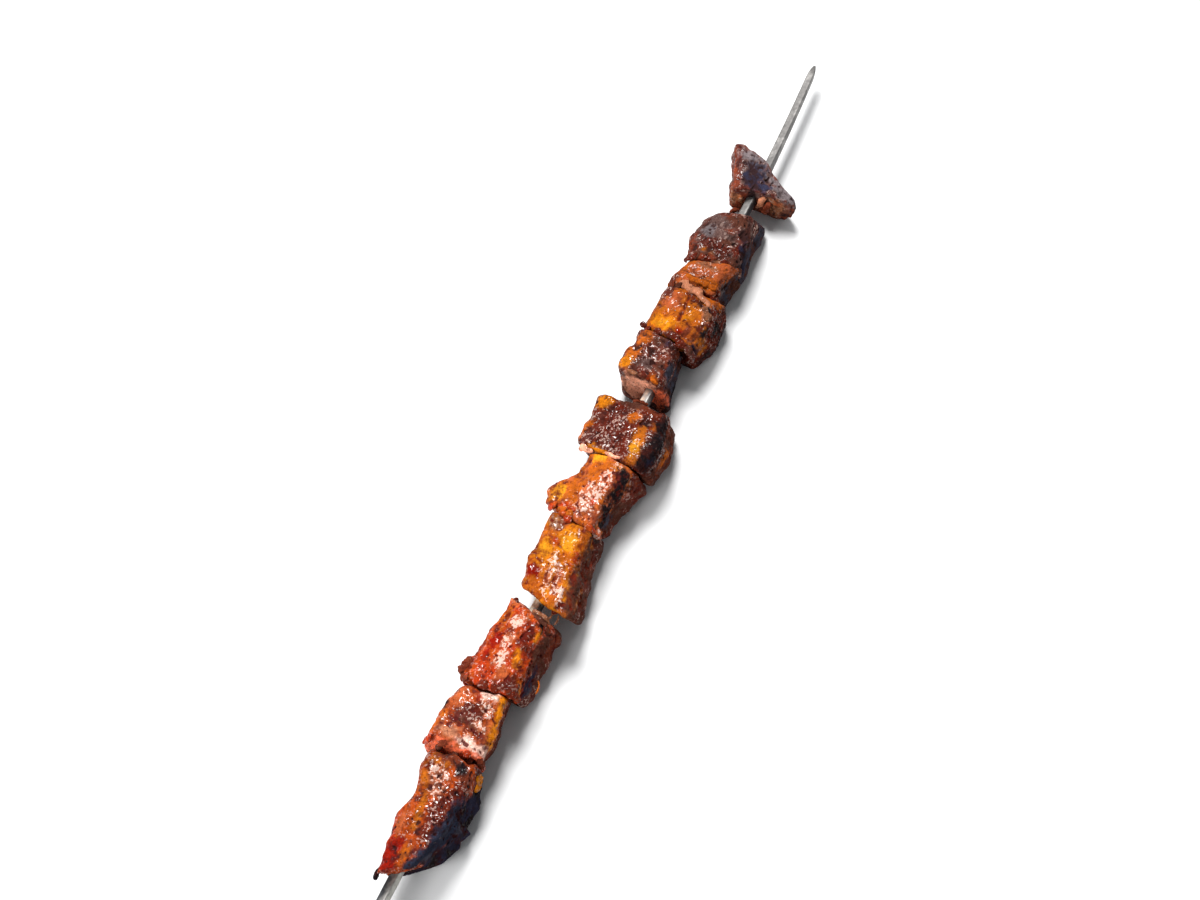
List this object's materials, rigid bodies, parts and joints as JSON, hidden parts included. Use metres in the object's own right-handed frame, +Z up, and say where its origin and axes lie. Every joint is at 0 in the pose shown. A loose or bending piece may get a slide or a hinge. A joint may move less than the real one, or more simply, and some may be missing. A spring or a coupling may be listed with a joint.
{
  "type": "liver kebab skewer",
  "caption": "Grilled liver kebab: uneven seared and glazed chunks threaded on a long square steel skewer with a drawn-out point, lying flat.",
  "frame": {"origin": "on the surface that the kebab lies on, under the middle of its length", "axes": "+X along the skewer to its point, +Y to its left, +Z up"},
  "size_m": [0.545, 0.0422, 0.0294],
  "materials": {
    "skewer_steel": "dull bare steel, sooty near the meat",
    "charred_liver": "dark seared crust with a wet glaze",
    "golden_liver": "golden-orange glazed crust",
    "red_liver": "red-brown glazed meat"
  },
  "bodies": {
    "root": {"skewer_rod": "skewer_steel", "liver_piece_01": "charred_liver", "liver_piece_02": "charred_liver", "liver_piece_03": "golden_liver", "liver_piece_04": "golden_liver", "liver_piece_05": "charred_liver", "liver_piece_06": "charred_liver", "liver_piece_07": "golden_liver", "liver_piece_08": "golden_liver", "liver_piece_09": "red_liver", "liver_piece_10": "red_liver", "liver_piece_11": "charred_liver"}
  },
  "joints": []
}
